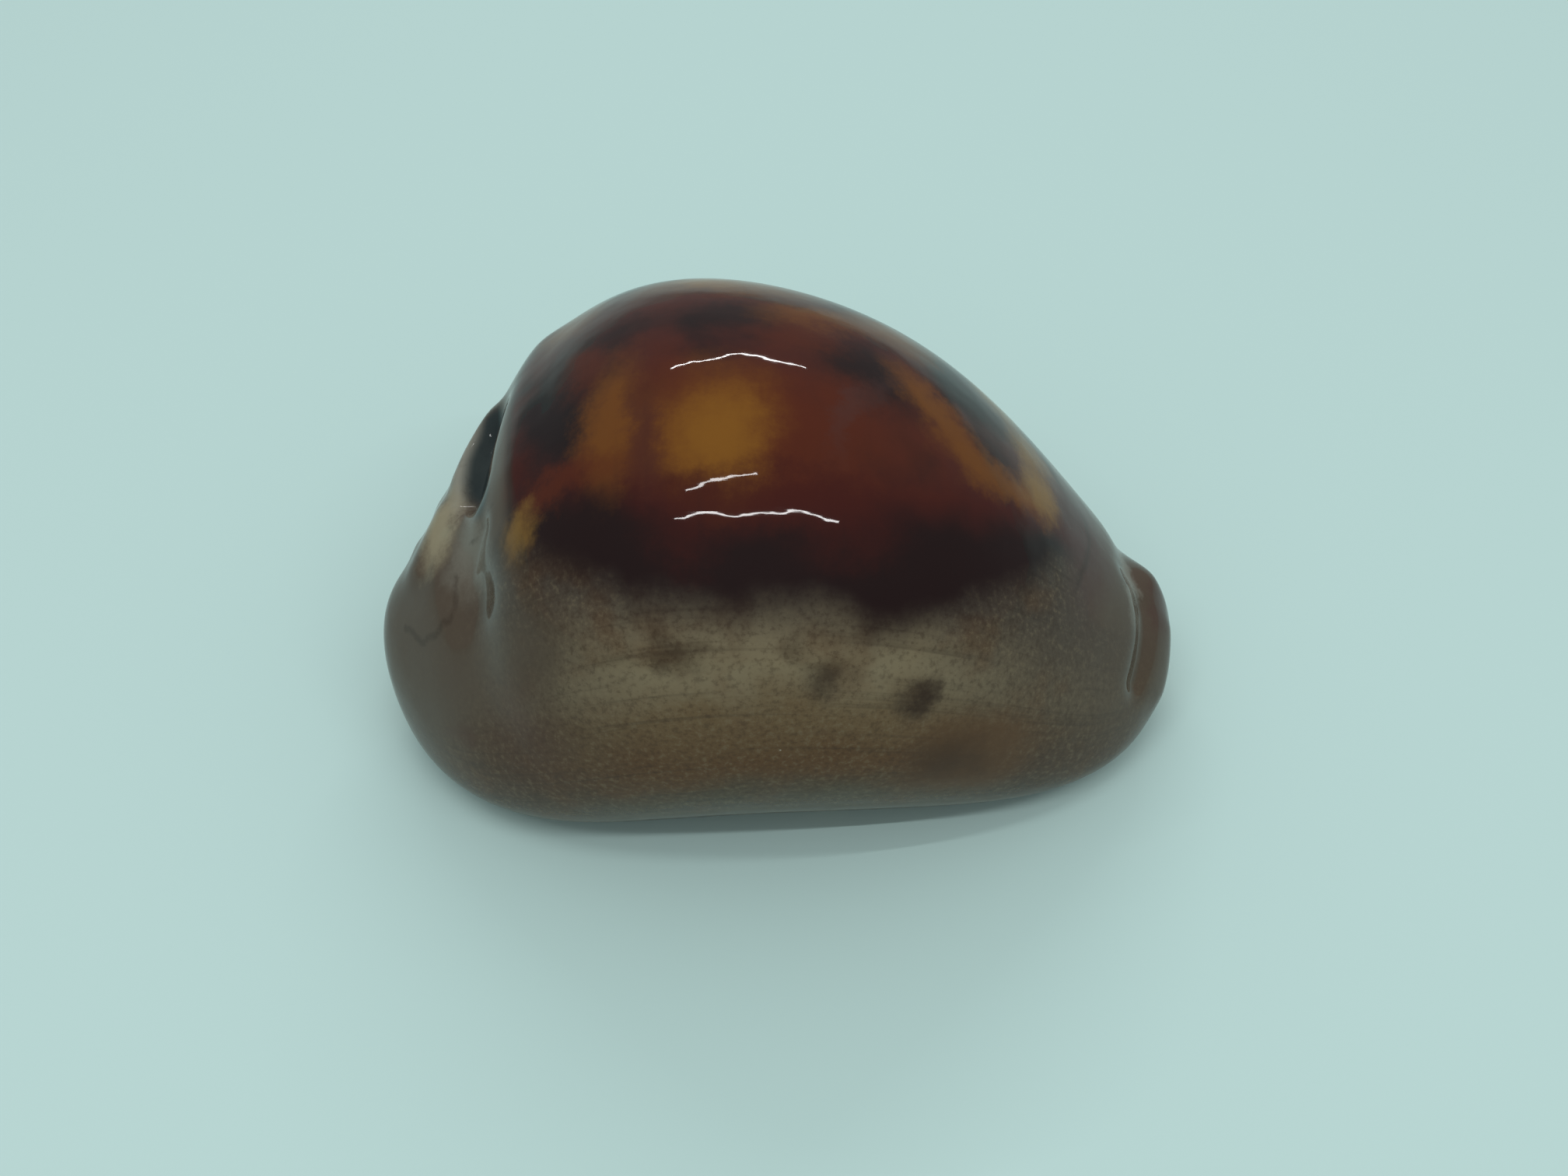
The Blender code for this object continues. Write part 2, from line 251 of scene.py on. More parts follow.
def shellPoints(ringShare, turnShare, rings):
    polar = np.clip(ringPolar(ringShare, rings), 0.002, np.pi - 0.002)
    inner = shell["innerSegments"] / (shell["innerSegments"] + shell["outerSegments"]) / 2
    side = np.where(turnShare < 0.5, 1.0, -1.0)
    fromRoof = np.minimum(turnShare, 1 - turnShare)
    share = np.clip(1 - fromRoof / inner, 0.0, 1.0)
    outer = np.clip((fromRoof - inner) / (0.5 - inner), 0.0, 1.0)
    angle = edgeAngle(polar)
    outside = shiftedForm(polar, side * (angle + (np.pi - angle) * outer))
    points = np.where((share > 0)[:, None], apertureForm(polar, share, side), outside)
    edge = shiftedForm(polar, side * angle)
    outward = np.where(share > 0, 0.0, np.linalg.norm(outside - edge, axis=1))
    hold = 1 - slitScale(polar) * np.clip((share - 0.3) / 0.3, 0.0, 1.0)
    moved = points + toothOffset(points, share, outward, side) + endRelief(points) * hold[:, None]
    return moved, share, outward


def fitToSize(points):
    # levelled on a small flat spot, then brought to the CAD node's box
    low = points[:, 2].min()
    points[:, 2] = np.maximum(points[:, 2] - low - shell["flatSpotDepth"], 0.0)
    corner = points.min(axis=0)
    size = points.max(axis=0) - corner
    middle = corner + size / 2
    middle[2] = 0.0
    boxLow, boxHigh = (np.array(c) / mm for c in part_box("cowry_shell"))
    return (points - middle) * ((boxHigh - boxLow) / size)


# Limits of the coloured body, in mm along the shell at each turn from the top of the back (degrees,
# negative on the lip side), and the edges of the dark band, as the rise at each place along the shell
bodyLimits = {
    "spire": (
        (-180, -40), (-120, -36), (-100, -31), (-85, -28), (-70, -23), (-59, -20.2), (-53, -21.3),
        (-46, -22.8), (-38, -24.1), (-31, -23.1), (-23, -23.3), (-11, -23.7), (2, -24), (20, -23.5),
        (40, -22.5), (60, -21.5), (75, -23), (90, -28), (120, -36), (180, -40),
    ),
    "front": (
        (-180, 40), (-110, 35), (-90, 31), (-70, 27), (-50, 24.9), (-29, 26.6), (-22, 27.4), (-10, 28.1),
        (0, 28), (4, 27.6), (7, 26.2), (9, 25.5), (30, 23.5), (50, 22.5), (70, 25), (90, 30),
        (120, 36), (180, 40),
    ),
    "bandFoot": (
        (-26, 0.80), (-20.6, 0.769), (-17.3, 0.739), (-14, 0.715), (-12.5, 0.695), (-8.8, 0.686),
        (-3.6, 0.674), (1.2, 0.682), (5.5, 0.684), (7.6, 0.664), (11.0, 0.672), (15.5, 0.712),
        (18.5, 0.74), (21.4, 0.78), (24.8, 0.849), (27.4, 0.893),
    ),
    "bandTop": (
        (-26, 0.86), (-20.6, 0.845), (-17.3, 0.833), (-14, 0.814), (-11, 0.795), (-2.2, 0.776),
        (4.1, 0.80), (8.5, 0.818), (12.2, 0.817), (16.3, 0.833), (20.7, 0.874), (25.2, 0.90),
        (27.8, 0.924),
    ),
}

# Line along the bottom of the spire pit, top to bottom, around which its teal colour and painted shade are
# laid
pitFloor = ((-25.9, 7.4, 27.2), (-26.8, 3.6, 26.4), (-27.0, 0.4, 26.6), (-26.0, -3.4, 28.9))

# How a mark wavers about its smoothed line (height in mm)
markWaver = {"pointsPerStop": 6, "smoothings": 3, "height": 0.25, "radiansPerStop": 7.3}

# Thin brown marks: the points they run through and their half width (mm)
marks = {
    "lobeLine": (((-28.9, -7.7, 23.1), (-28.8, -10.6, 21.6), (-30.1, -11.0, 20.4), (-32.0, -11.0, 17.8),
                  (-34.3, -8.0, 16.8)), 0.35),
    "creaseLine": (((-24.9, -6.3, 30.9), (-26.3, -6.4, 28.3), (-27.6, -6.0, 25.2)), 0.25),
    "pitEdge": (((-24.9, 6.0, 31.9), (-24.9, -0.2, 32.6), (-24.6, -5.2, 31.5)), 0.3),
    "farLobeLine": (((-27.5, 14.0, 22.5), (-29.0, 14.5, 19.0), (-31.5, 12.0, 16.0)), 0.35),
}


def surfacePlace(points):
    # rise: 0 under the base, 1 along the top of the back
    # turn: degrees from the top, negative on the lip side
    axis = np.clip(along(points[:, 0]), -1, 1)
    sideways = points[:, 1] - np.polyval(sideCurve, axis)
    upward = points[:, 2] - np.polyval(heightCurve, axis)
    return np.arctan2(np.abs(sideways), -upward) / np.pi, np.degrees(np.arctan2(sideways, upward))


def addAttribute(mesh, name, kind, values):
    layer = mesh.attributes.new(name, kind, "POINT")
    field = "vector" if kind == "FLOAT_VECTOR" else "value"
    layer.data.foreach_set(field, np.asarray(values, np.float32).ravel())


def addPatternAttributes(mesh, points):
    # measures over the surface that the enamel's pattern follows
    rise, turn = surfacePlace(points)
    x = points[:, 0]
    limit = {name: np.interp(turn if name in ("spire", "front") else x, *zip(*pairs))
             for name, pairs in bodyLimits.items()}
    markDistance = []
    for run, width in marks.values():
        stops = np.linspace(0, len(run) - 1, markWaver["pointsPerStop"] * len(run))
        curve = np.stack([np.interp(stops, range(len(run)), column) for column in zip(*run)], axis=-1)
        for _ in range(markWaver["smoothings"]):
            curve[1:-1] = (curve[:-2] + 2 * curve[1:-1] + curve[2:]) / 4
        curve[:, 1] += markWaver["height"] * np.sin(stops * markWaver["radiansPerStop"])
        markDistance += [lineDistance(points, start, end) / width for start, end in zip(curve, curve[1:])]
    addAttribute(mesh, "rise", "FLOAT", rise)
    addAttribute(mesh, "pastSpireLimit", "FLOAT", limit["spire"] - x)
    addAttribute(mesh, "pastFrontLimit", "FLOAT", x - limit["front"])
    addAttribute(mesh, "overBandFoot", "FLOAT", rise - limit["bandFoot"])
    addAttribute(mesh, "overBandTop", "FLOAT", rise - limit["bandTop"])
    addAttribute(mesh, "markDistance", "FLOAT", np.min(markDistance, axis=0))
    pitDistance = [lineDistance(points, start, end) for start, end in zip(pitFloor, pitFloor[1:])]
    addAttribute(mesh, "pitDistance", "FLOAT", np.min(pitDistance, axis=0))
    bodyLines = np.stack((x, rise * shell["length"], turn / 10), axis=-1)
    addAttribute(mesh, "bodyLines", "FLOAT_VECTOR", bodyLines)


def makeShell():
    rings = 2 * shell["endRings"] + shell["ringsPerTooth"] * aperture["toothCount"]
    bm = bmesh.new()
    bmesh.ops.create_uvsphere(bm, u_segments=shell["outerSegments"] + shell["innerSegments"],
                              v_segments=rings, radius=1.0)
    directions = np.array([v.co[:] for v in bm.verts])
    ringShare = np.arccos(np.clip(directions[:, 2], -1, 1)) / np.pi
    turnShare = np.mod(np.arctan2(directions[:, 1], directions[:, 0]) / (2 * np.pi), 1.0)
    points, share, outward = shellPoints(ringShare, turnShare, rings)
    points = fitToSize(points)
    for vertex, point in zip(bm.verts, points * mm):
        vertex.co = point
    bmesh.ops.recalc_face_normals(bm, faces=bm.faces[:])
    mesh = bpy.data.meshes.new("cowryShell")
    bm.to_mesh(mesh)
    bm.free()
    mesh.shade_smooth()
    addPatternAttributes(mesh, points)
    addAttribute(mesh, "inAperture", "FLOAT", share)
    addAttribute(mesh, "fromLip", "FLOAT", outward)
    addAttribute(mesh, "toothGap", "FLOAT", toothGap(points[:, 0]))
    piece = bpy.data.objects.new("cowryShell", mesh)
    bpy.context.scene.collection.objects.link(piece)
    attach(piece, "root")
    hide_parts("cowry_shell")
    print("shell:", len(mesh.polygons), "faces")
    return piece


# Porcelaneous shell enamel: laid down in thin clear layers by the living animal, so it is
# smooth and glossy as glaze, with the colours sitting a little below the surface
enamel = {
    "backBrown": "#48201a",
    "backDark": "#1a1214",
    "bandDark": "#1c0d0e",
    "bandRed": "#42130d",
    "amber": "#744514",
    "amberBright": "#855718",
    "amberDull": "#57230f",
    "ochre": "#86642e",
    "sideGrey": "#4b4741",
    "sidePale": "#80735a",
    "sideBrown": "#5d4024",
    "sideTan": "#695439",
    # painted shade for the sides toward both ends
    "sideEndShade": "#493b2e",
    "marginGrey": "#514431",
    "spotBrown": "#2c1709",
    "spotRed": "#4b2b1e",
    "lineBrown": "#2a1d14",
    "callusGrey": "#564b3f",
    # pale callus, also used for painted sheen
    "callusPaleAndSheen": "#8f8f84",
    "callusCream": "#a0977c",
    "callusPurple": "#4c3431",
    # teal-grey of the spire pit, darkened as painted shade
    "pitTealAndShade": "#263234",
    "baseTan": "#a07a48",
    "baseOrange": "#7a5028",
    "baseBrown": "#3c281b",
    "toothCream": "#bba57d",
    "gapBrown": "#6a4526",
    "speck": "#c9c4b4",
    "roughness": 0.16,
    "coatRoughness": 0.03,
    "coatWeight": 0.8,
    "coatIor": 1.34,
    "edgeWander": 7.0,     # mm, how far the cloud edges wander
    "wanderScale": 0.17,   # per mm, how often they do
    "striaWidth": 0.7,     # mm, spacing of the fine lines along the shell
    "growthWidth": 1.3,    # mm, spacing of the growth lines around it
    "mottleSize": 0.55,    # mm
    "cloudSize": 6.0,      # mm
    "fingerWidth": 2.2,    # mm, brown fingers on the base
    "speckScale": 0.22,    # per mm, how close the white specks may lie
    "undulationScale": 0.26,   # per mm, slow unevenness of the surface
    "bumpStrength": 0.3,
    "bumpDepth": 0.28,     # mm
}

# Soft patches of colour, laid in this order: colour, place (mm), half sizes (mm), turn (degrees),
# strength, softness
backPatches = (
    # dark clouds of the back
    ("backDark", (-19.3, -2.0, 38.0), (4.2, 7.0, 5.0), (0, 0, 0), 0.95, 0.6),
    ("backDark", (-4.5, 4.5, 43.5), (5.5, 2.6, 5.0), (0, 0, 0), 0.8, 0.7),
    ("backDark", (-14.5, 4.5, 40.0), (3.5, 2.4, 5.0), (0, 0, 0), 0.7, 0.7),
    ("backDark", (7.0, -0.6, 41.3), (5.5, 3.8, 5.0), (0, 0, -12), 0.9, 0.6),
    ("backDark", (15.9, 4.1, 34.5), (4.5, 3.4, 4.0), (0, 35, -10), 0.9, 0.6),
    ("backDark", (16.5, 10.0, 32.5), (8.0, 4.0, 5.0), (0, 30, 0), 0.7, 0.7),
    ("backDark", (18.6, -1.6, 33.0), (2.6, 1.6, 2.6), (0, 40, 0), 0.6, 0.8),
    # amber windows
    ("amberDull", (0.5, -8.8, 42.3), (10.5, 6.2, 5.0), (0, 0, 0), 0.9, 0.6),
    ("amber", (-6.0, -8.8, 42.5), (5.0, 5.6, 5.0), (0, 0, 0), 0.85, 0.7),
    ("amberBright", (-4.8, -9.2, 42.5), (3.0, 3.2, 4.0), (0, 0, 0), 0.85, 0.8),
    ("bandRed", (-0.5, -14.0, 40.0), (12.0, 2.0, 2.0), (0, 0, 0), 0.75, 0.8),
    ("bandRed", (-8.0, -16.0, 38.5), (3.0, 3.0, 3.0), (0, 0, 0), 0.6, 0.8),
    ("bandRed", (5.6, -14.6, 37.6), (4.5, 3.0, 3.0), (0, 0, 0), 0.6, 0.8),
    ("amber", (-14.3, -6.0, 40.4), (2.4, 6.0, 4.0), (0, 0, -8), 0.85, 0.7),
    ("amberDull", (-18.8, -9.7, 36.6), (6.0, 1.5, 2.0), (0, -40, 0), 0.8, 0.8),
    ("ochre", (-22.4, -10.6, 31.9), (1.9, 1.6, 3.0), (0, 0, 0), 0.8, 0.8),
    ("amberDull", (-17.2, 1.2, 39.8), (2.4, 2.6, 3.0), (0, 0, 0), 0.7, 0.8),
    ("backBrown", (-11.2, -9.4, 41.6), (1.3, 5.0, 3.0), (0, 0, 10), 0.6, 0.9),
    ("amberDull", (-9.6, -3.0, 43.3), (2.6, 3.0, 3.0), (0, 0, 0), 0.6, 0.8),
    ("amber", (2.8, 6.2, 41.6), (4.6, 1.9, 3.0), (0, 0, 10), 0.75, 0.8),
    ("amberDull", (1.6, 2.4, 43.0), (3.4, 2.4, 3.0), (0, 0, 0), 0.7, 0.8),
    ("amberDull", (11.5, -6.6, 38.6), (4.5, 3.6, 4.0), (0, 0, 0), 0.5, 0.8),
    ("amber", (13.0, -0.6, 37.3), (4.2, 2.0, 3.0), (0, 30, -35), 0.85, 0.7),
    ("amber", (16.3, -4.6, 34.8), (3.8, 2.4, 3.0), (0, 40, -20), 0.85, 0.7),
    ("amber", (20.4, -4.4, 30.9), (3.6, 1.8, 3.0), (0, 45, 0), 0.8, 0.7),
    ("ochre", (22.9, -2.2, 27.9), (2.6, 2.2, 3.4), (0, 45, 0), 0.85, 0.7),
    ("ochre", (22.6, 2.8, 28.2), (2.2, 3.0, 2.4), (0, 0, 0), 0.7, 0.8),
    # a faint purple growth mark across the back
    ("callusPurple", (8.0, -2.2, 41.0), (3.6, 0.9, 3.0), (0, 0, 50), 0.3, 0.9),
    ("callusPurple", (5.4, -6.5, 41.6), (0.8, 3.2, 3.0), (0, 0, -8), 0.35, 0.9),
    # unseen far side of the back: the same kind of clouds and windows
    ("backDark", (-12.0, 17.5, 34.0), (8.0, 5.0, 5.0), (0, 0, 0), 0.9, 0.6),
    ("backDark", (6.0, 16.5, 34.0), (9.0, 5.0, 5.0), (0, 0, 0), 0.9, 0.6),
    ("amber", (-5.0, 12.5, 39.6), (7.0, 3.6, 4.0), (0, 0, 0), 0.85, 0.7),
    ("amberBright", (-6.5, 12.8, 39.6), (3.0, 2.2, 4.0), (0, 0, 0), 0.7, 0.8),
    ("amber", (10.5, 9.0, 37.0), (4.5, 3.0, 3.6), (0, 25, 15), 0.7, 0.7),
    ("amber", (-18.5, 12.0, 35.0), (3.0, 4.0, 3.6), (0, 0, 0), 0.7, 0.7),
    ("ochre", (20.5, 9.0, 28.5), (3.2, 2.6, 3.6), (0, 40, 0), 0.7, 0.7),
)

sidePatches = (
    # painted shade: a darker patch on the lip side toward the spire end
    ("sideEndShade", (-21.0, -18.8, 25.6), (3.0, 3.0, 4.6), (0, 0, 0), 0.6, 0.8),
    ("spotBrown", (7.8, -21.0, 33.4), (3.6, 2.6, 2.6), (0, 0, 0), 0.5, 0.8),
    ("spotRed", (-22.4, -20.6, 17.6), (5.0, 4.0, 4.4), (0, 0, 0), 0.45, 0.9),
    ("spotRed", (-28.4, -17.8, 13.4), (1.6, 1.6, 1.3), (0, 0, 0), 0.7, 0.8),
    ("spotRed", (-29.8, -15.8, 16.4), (1.2, 1.6, 2.6), (0, 30, 0), 0.4, 0.9),
    ("sideBrown", (16.5, -21.8, 15.0), (6.5, 4.0, 4.6), (0, 20, 0), 0.85, 0.6),
    ("spotBrown", (14.5, -22.0, 15.5), (4.0, 4.0, 2.4), (0, 15, 0), 0.55, 0.9),
    ("spotBrown", (-8.4, -22.8, 30.0), (1.6, 1.6, 1.5), (0, 0, 0), 0.65, 0.9),
    ("spotBrown", (4.1, -23.4, 27.5), (1.9, 1.9, 1.8), (0, 0, 0), 0.75, 0.9),
    ("spotBrown", (11.5, -22.4, 23.9), (1.9, 1.9, 1.9), (0, 0, 0), 0.9, 0.8),
    ("spotBrown", (1.2, -22.5, 30.6), (1.3, 1.3, 1.2), (0, 0, 0), 0.4, 0.9),
    ("spotBrown", (13.0, -22.0, 26.2), (1.0, 1.0, 1.6), (0, 0, 0), 0.4, 0.9),
    # unseen far side
    ("sideBrown", (-14.0, 23.5, 20.0), (5.0, 5.0, 5.0), (0, 0, 0), 0.6, 0.8),
    ("spotBrown", (-3.0, 24.8, 24.5), (1.7, 1.7, 1.6), (0, 0, 0), 0.75, 0.9),
    ("spotBrown", (9.0, 22.5, 22.0), (2.0, 2.0, 1.8), (0, 0, 0), 0.8, 0.9),
    ("spotBrown", (-19.0, 21.0, 25.0), (1.4, 1.4, 1.4), (0, 0, 0), 0.6, 0.9),
    ("sideBrown", (18.0, 19.0, 15.0), (5.0, 4.0, 4.0), (0, 0, 0), 0.6, 0.8),
)

callusPatches = (
    ("callusPaleAndSheen", (-29.2, 3.0, 26.3), (1.5, 7.5, 2.4), (0, 0, -14), 0.95, 0.7),
    # painted sheen: a pale patch in the saddle on the lip side of the spire end
    ("callusPaleAndSheen", (-27.8, -7.0, 26.0), (2.6, 3.4, 3.4), (0, 0, 0), 0.5, 0.8),
    ("callusCream", (-31.2, -2.2, 23.6), (2.0, 3.4, 3.2), (0, 0, -20), 0.8, 0.7),
    ("callusCream", (-33.0, 4.5, 20.0), (2.4, 4.0, 3.4), (0, 0, 0), 0.7, 0.7),
    ("callusPurple", (27.5, -1.0, 22.0), (3.6, 8.0, 4.0), (0, 45, 0), 0.85, 0.7),
    ("callusPurple", (35.8, -1.5, 11.5), (1.4, 3.0, 3.0), (0, 0, 0), 0.6, 0.8),
    # painted sheen: a pale patch where the front end catches a grazing reflection
    ("callusPaleAndSheen", (32.4, -1.5, 16.2), (0.8, 4.5, 2.6), (0, 0, 6), 0.5, 0.7),
)


def linearColour(text):
    channels = [int(text[i:i + 2], 16) / 255 for i in (1, 3, 5)]
    return tuple(c / 12.92 if c <= 0.04045 else ((c + 0.055) / 1.055) ** 2.4 for c in channels) + (1.0,)


def addNode(tree, kind, settings=None, **links):
    # settings: attributes of the node; links: socket name, or i and its number -> value, node or socket
    new = tree.nodes.new(kind)
    for key, value in (settings or {}).items():
        setattr(new, key, value)
    for key, value in links.items():
        name = key.replace("_", " ")
        socket = new.inputs[int(name[1:])] if name[0] == "i" and name[1:].isdigit() else new.inputs[name]
        if isinstance(value, bpy.types.Node):
            value = next(output for output in value.outputs if output.enabled)
        if isinstance(value, bpy.types.NodeSocket):
            tree.links.new(value, socket)
        else:
            socket.default_value = linearColour(value) if isinstance(value, str) else value
    return new


def layColours(tree, colour, layers):
    # each layer: colour, measure, where it starts and ends on the measure, and its strength at both
    for name, measure, start, end, low, high in layers:
        mask = addNode(tree, "ShaderNodeMapRange", {"interpolation_type": "SMOOTHSTEP"}, Value=measure,
                       From_Min=start, From_Max=end, To_Min=low, To_Max=high)
        colour = addNode(tree, "ShaderNodeMix", {"data_type": "RGBA"}, i0=mask, i6=colour, i7=enamel[name])
    return colour


def layPatches(tree, colour, place, patches):
    for name, centre, size, turn, strength, softness in patches:
        local = addNode(tree, "ShaderNodeMapping", {"vector_type": "TEXTURE"}, Vector=place, Location=centre,
                        Rotation=tuple(math.radians(a) for a in turn), Scale=size)
        distance = addNode(tree, "ShaderNodeVectorMath", {"operation": "LENGTH"}, i0=local)
        colour = layColours(tree, colour, ((name, distance, 1 + softness, 1 - softness, 0.0, strength),))
    return colour


def enamelMaterial():
    material = bpy.data.materials.new("porcelaneousShellEnamel")
    material.use_nodes = True
    tree = material.node_tree
    surface = tree.nodes["Principled BSDF"]
    surface.inputs["IOR"].default_value = 1.5
    surface.inputs["Specular IOR Level"].default_value = 0.0  # the clear coat alone gives the gloss
    surface.inputs["Coat Weight"].default_value = enamel["coatWeight"]
    surface.inputs["Coat IOR"].default_value = enamel["coatIor"]
    surface.inputs["Coat Roughness"].default_value = enamel["coatRoughness"]

    smooth = {"interpolation_type": "SMOOTHSTEP"}
    coordinates = addNode(tree, "ShaderNodeTexCoord")
    place = addNode(tree, "ShaderNodeMapping", Vector=coordinates.outputs["Object"], Scale=(1000, 1000, 1000))
    names = ("rise", "pastSpireLimit", "pastFrontLimit", "overBandFoot", "overBandTop", "markDistance",
             "pitDistance", "inAperture", "fromLip", "toothGap")
    measure = {name: addNode(tree, "ShaderNodeAttribute", {"attribute_name": name}).outputs["Fac"]
               for name in names}
    lines = addNode(tree, "ShaderNodeAttribute", {"attribute_name": "bodyLines"}).outputs["Vector"]
    x = addNode(tree, "ShaderNodeSeparateXYZ", Vector=place).outputs[0]
    fromMiddle = addNode(tree, "ShaderNodeMath", {"operation": "ABSOLUTE"}, i0=x)

    # slow wander of every cloud's edge
    wander = addNode(tree, "ShaderNodeTexNoise", Vector=place, Scale=enamel["wanderScale"], Detail=6.0,
                     Roughness=0.72).outputs[1]
    wander = addNode(tree, "ShaderNodeVectorMath", {"operation": "SUBTRACT"}, i0=wander, i1=(0.5, 0.5, 0.5))
    wander = addNode(tree, "ShaderNodeVectorMath", {"operation": "SCALE"}, i0=wander,
                     Scale=enamel["edgeWander"])
    wandered = addNode(tree, "ShaderNodeVectorMath", {"operation": "ADD"}, i0=place, i1=wander)

    # fine lines along the shell, growth lines around it, sandy mottling, cloudiness
    striaPlace = addNode(tree, "ShaderNodeMapping", Vector=lines,
                         Scale=(0.05, 1 / enamel["striaWidth"], 0.5))
    striae = addNode(tree, "ShaderNodeTexNoise", Vector=striaPlace, Scale=1.0, Detail=2.0, Roughness=0.55)
    growthPlace = addNode(tree, "ShaderNodeMapping", Vector=lines,
                          Scale=(1 / enamel["growthWidth"], 0.03, 0.05))
    growth = addNode(tree, "ShaderNodeTexNoise", Vector=growthPlace, Scale=1.0, Detail=2.0, Roughness=0.6)
    fingerPlace = addNode(tree, "ShaderNodeMapping", Vector=lines,
                          Scale=(1 / enamel["fingerWidth"], 0.06, 0.1))
    fingers = addNode(tree, "ShaderNodeTexNoise", Vector=fingerPlace, Scale=1.0, Detail=2.0, Roughness=0.5)
    mottle = addNode(tree, "ShaderNodeTexNoise", Vector=place, Scale=1 / enamel["mottleSize"], Detail=3.0,
                     Roughness=0.65)
    cloud = addNode(tree, "ShaderNodeTexNoise", Vector=place, Scale=1 / enamel["cloudSize"], Detail=3.0,
                    Roughness=0.5)
    rise = addNode(tree, "ShaderNodeMath", {"operation": "MULTIPLY_ADD"}, i0=cloud, i1=0.10,
                   i2=measure["rise"])
    bandFoot = addNode(tree, "ShaderNodeMath", {"operation": "MULTIPLY_ADD"}, i0=cloud, i1=0.05,
                       i2=measure["overBandFoot"])
    bandTop = addNode(tree, "ShaderNodeMath", {"operation": "MULTIPLY_ADD"}, i0=cloud, i1=0.06,
                      i2=measure["overBandTop"])

    # sides from the margin up: grey, brown band, pale middle, grey under the dark band of the back, with
    # painted shade darkening them toward both ends
    side = layColours(tree, enamel["marginGrey"], (
        ("sideBrown", rise, 0.46, 0.53, 0.0, 1.0),
        ("sideTan", rise, 0.54, 0.61, 0.0, 1.0),
        ("sidePale", rise, 0.60, 0.67, 0.0, 1.0),
        ("sideGrey", rise, 0.66, 0.80, 0.0, 1.0),
        ("sideEndShade", fromMiddle, 8.0, 24.0, 0.0, 0.7),
        ("sideBrown", cloud, 0.48, 0.68, 0.0, 0.4),
        ("spotBrown", mottle, 0.48, 0.68, 0.0, 0.34),
        ("sidePale", mottle, 0.48, 0.32, 0.0, 0.3),
        ("lineBrown", striae, 0.52, 0.75, 0.0, 0.3),
    ))

    # back: brown with dark clouds, down to the dark band above the grey sides
    onBack = addNode(tree, "ShaderNodeMapRange", smooth, Value=bandFoot, From_Min=-0.01, From_Max=0.06)
    back = layColours(tree, enamel["backBrown"], (
        ("backDark", cloud, 0.45, 0.7, 0.0, 0.6),
        ("bandRed", bandTop, 0.10, 0.03, 0.0, 0.8),
        ("bandDark", bandTop, 0.05, -0.01, 0.0, 0.95),
    ))
    back = layPatches(tree, back, wandered, backPatches)
    back = layColours(tree, back, (("backDark", growth, 0.55, 0.85, 0.0, 0.12),))
    side = layPatches(tree, side, wandered, sidePatches)
    colour = addNode(tree, "ShaderNodeMix", {"data_type": "RGBA"}, i0=onBack, i6=side, i7=back)

    # grey callus over both ends, past thin brown lines, and the spire pit, whose teal-grey colour is deepened
    # with painted shade
    spireLine = addNode(tree, "ShaderNodeMath", {"operation": "ABSOLUTE"}, i0=measure["pastSpireLimit"])
    frontLine = addNode(tree, "ShaderNodeMath", {"operation": "ABSOLUTE"}, i0=measure["pastFrontLimit"])
    limitLine = addNode(tree, "ShaderNodeMath", {"operation": "MINIMUM"}, i0=spireLine, i1=frontLine)
    limitLine = addNode(tree, "ShaderNodeMath", {"operation": "MULTIPLY_ADD"}, i0=cloud, i1=0.8, i2=limitLine)
    lowPart = addNode(tree, "ShaderNodeMapRange", smooth, Value=rise, From_Min=0.90, From_Max=0.76)
    limitLine = addNode(tree, "ShaderNodeMath", {"operation": "ADD"}, i0=limitLine, i1=lowPart)
    mark = addNode(tree, "ShaderNodeMath", {"operation": "MULTIPLY_ADD"}, i0=mottle, i1=1.6,
                   i2=measure["markDistance"])
    spread = addNode(tree, "ShaderNodeMath", {"operation": "MULTIPLY_ADD"}, i0=lowPart, i1=6.0, i2=1.0)
    pastSpire = addNode(tree, "ShaderNodeMath", {"operation": "DIVIDE"}, i0=measure["pastSpireLimit"],
                        i1=spread)
    pastFront = addNode(tree, "ShaderNodeMath", {"operation": "DIVIDE"}, i0=measure["pastFrontLimit"],
                        i1=spread)
    colour = layColours(tree, colour, (
        ("callusGrey", pastSpire, -0.6, 1.2, 0.0, 0.9),
        ("callusGrey", pastFront, -0.8, 1.6, 0.0, 0.9),
    ))
    colour = layPatches(tree, colour, wandered, callusPatches)
    colour = layColours(tree, colour, (
        ("pitTealAndShade", measure["pitDistance"], 2.7, 1.2, 0.0, 0.95),
        ("lineBrown", limitLine, 0.95, 0.35, 0.0, 0.5),
        ("lineBrown", mark, 2.4, 1.0, 0.0, 0.4),
    ))

    # base: dark outer edge, brown fingers running in, tan by the aperture
    onBase = addNode(tree, "ShaderNodeMapRange", smooth, Value=rise, From_Min=0.41, From_Max=0.36)
    inner = addNode(tree, "ShaderNodeMath", {"operation": "MULTIPLY_ADD"}, i0=fingers, i1=0.16,
                    i2=measure["rise"])
    base = layColours(tree, enamel["baseTan"], (
        ("baseOrange", fromMiddle, 14.0, 30.0, 0.0, 1.0),
        ("baseOrange", mottle, 0.45, 0.75, 0.0, 0.4),
        ("baseBrown", inner, 0.25, 0.35, 0.0, 1.0),
    ))
    colour = addNode(tree, "ShaderNodeMix", {"data_type": "RGBA"}, i0=onBase, i6=colour, i7=base)

